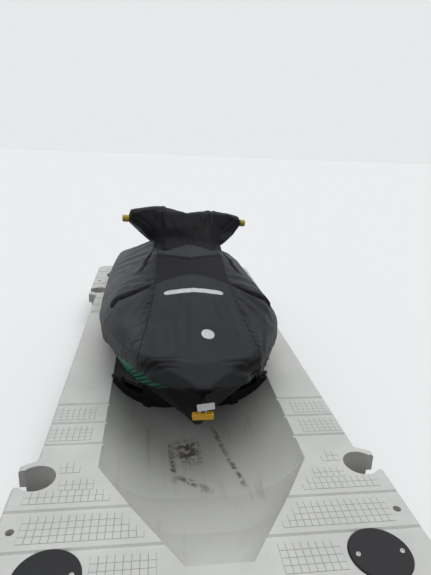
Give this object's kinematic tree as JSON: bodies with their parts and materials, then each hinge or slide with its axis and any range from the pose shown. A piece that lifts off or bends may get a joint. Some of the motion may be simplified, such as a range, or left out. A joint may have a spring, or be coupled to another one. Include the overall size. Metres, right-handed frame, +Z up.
{
  "type": "personal watercraft under a fitted storage cover on a drive-on float",
  "caption": "Personal watercraft with a fitted dark cover over deck and handlebar, jet pump, reverse bucket and boarding step, lying in the trough of a grey drive-on dock float.",
  "frame": {"origin": "on the floor under the middle of the float", "axes": "+X to the bow, +Y to port, +Z up"},
  "size_m": [4.5, 1.7, 1.3672],
  "materials": {
    "float_plastic": "textured grey rotomoulded plastic",
    "hatch_plastic": "dark grey moulded plastic",
    "stop_plastic": "black moulded plastic",
    "pin_plastic": "grey plastic",
    "roller_rubber": "black rubber",
    "hull_gelcoat": "gloss black gelcoat with green graphics",
    "deck_gelcoat": "dark grey gelcoat",
    "rail_rubber": "black rubber",
    "cover_fabric": "charcoal woven polyester",
    "seat_vinyl": "black marine vinyl",
    "bar_alloy": "black anodised",
    "grip_rubber": "ribbed yellow rubber",
    "pump_alloy": "cast alloy",
    "impeller_steel": "stainless steel",
    "engine_paint": "dark casting",
    "fitting_steel": "stainless steel",
    "fitting_plastic": "black plastic",
    "lock_plastic": "yellow plastic",
    "lock_steel": "white coated steel"
  },
  "bodies": {
    "root": {"dock_float": "float_plastic", "hatch_covers": "hatch_plastic", "bow_stop": "stop_plastic", "stop_pins": "pin_plastic", "roller_pin": "fitting_steel", "hull": "hull_gelcoat", "deck": "deck_gelcoat", "rub_rail": "rail_rubber", "storage_lid": "deck_gelcoat", "rider_seat": "seat_vinyl", "passenger_seat": "seat_vinyl", "steering_column": "bar_alloy", "cover_body": "cover_fabric", "engine_block": "engine_paint", "jet_pump": "pump_alloy", "shaft_seal": "pump_alloy", "intake_grate": "fitting_steel", "ride_plate": "pump_alloy", "sponsons": "fitting_plastic", "bow_eye": "fitting_steel", "stern_eyes": "fitting_steel", "drain_plugs": "fitting_plastic", "exhaust_outlet": "fitting_plastic", "step_brackets": "fitting_steel", "lock_block": "lock_plastic", "lock_shackle": "lock_steel"},
    "steering": {"steering_stem": "fitting_steel", "handlebar": "bar_alloy", "grips": "grip_rubber", "levers": "bar_alloy", "bar_pad": "fitting_plastic", "cover_hood": "cover_fabric"},
    "nozzle": {"steering_nozzle": "pump_alloy"},
    "bucket": {"reverse_bucket": "pump_alloy"},
    "propeller": {"impeller": "impeller_steel", "drive_shaft": "fitting_steel"},
    "step": {"boarding_step": "fitting_steel"},
    "roller": {"entry_roller": "roller_rubber"}
  },
  "joints": [
    {"name": "steer", "type": "hinge", "parent": "root", "child": "steering", "pos_m": [-0.25, 0, 1.13], "axis": [-0.342, 0, 0.9397], "range_deg": [-27, 13]},
    {"name": "nozzle_steer", "type": "hinge", "parent": "root", "child": "nozzle", "pos_m": [-1.99, 0, 0.315], "axis": [0, 0, 1], "range_deg": [-13, 27]},
    {"name": "bucket_pivot", "type": "hinge", "parent": "root", "child": "bucket", "pos_m": [-1.99, 0, 0.315], "axis": [0, -1, 0], "range_deg": [0, 62]},
    {"name": "impeller_spin", "type": "hinge", "parent": "root", "child": "propeller", "pos_m": [-1.7, 0, 0.315], "axis": [1, 0, 0], "continuous": true},
    {"name": "step_fold", "type": "hinge", "parent": "root", "child": "step", "pos_m": [-2.194, 0, 0.25], "axis": [0, -1, 0], "range_deg": [0, 150], "stiffness_Nm_per_rad": 2.5, "springref_deg": -22.92},
    {"name": "roller_spin", "type": "hinge", "parent": "root", "child": "roller", "pos_m": [-1.84, 0, 0.1357], "axis": [0, 1, 0], "continuous": true}
  ],
  "couplings": [
    {"joint": "nozzle_steer", "follows": "steer", "ratio": -1}
  ]
}
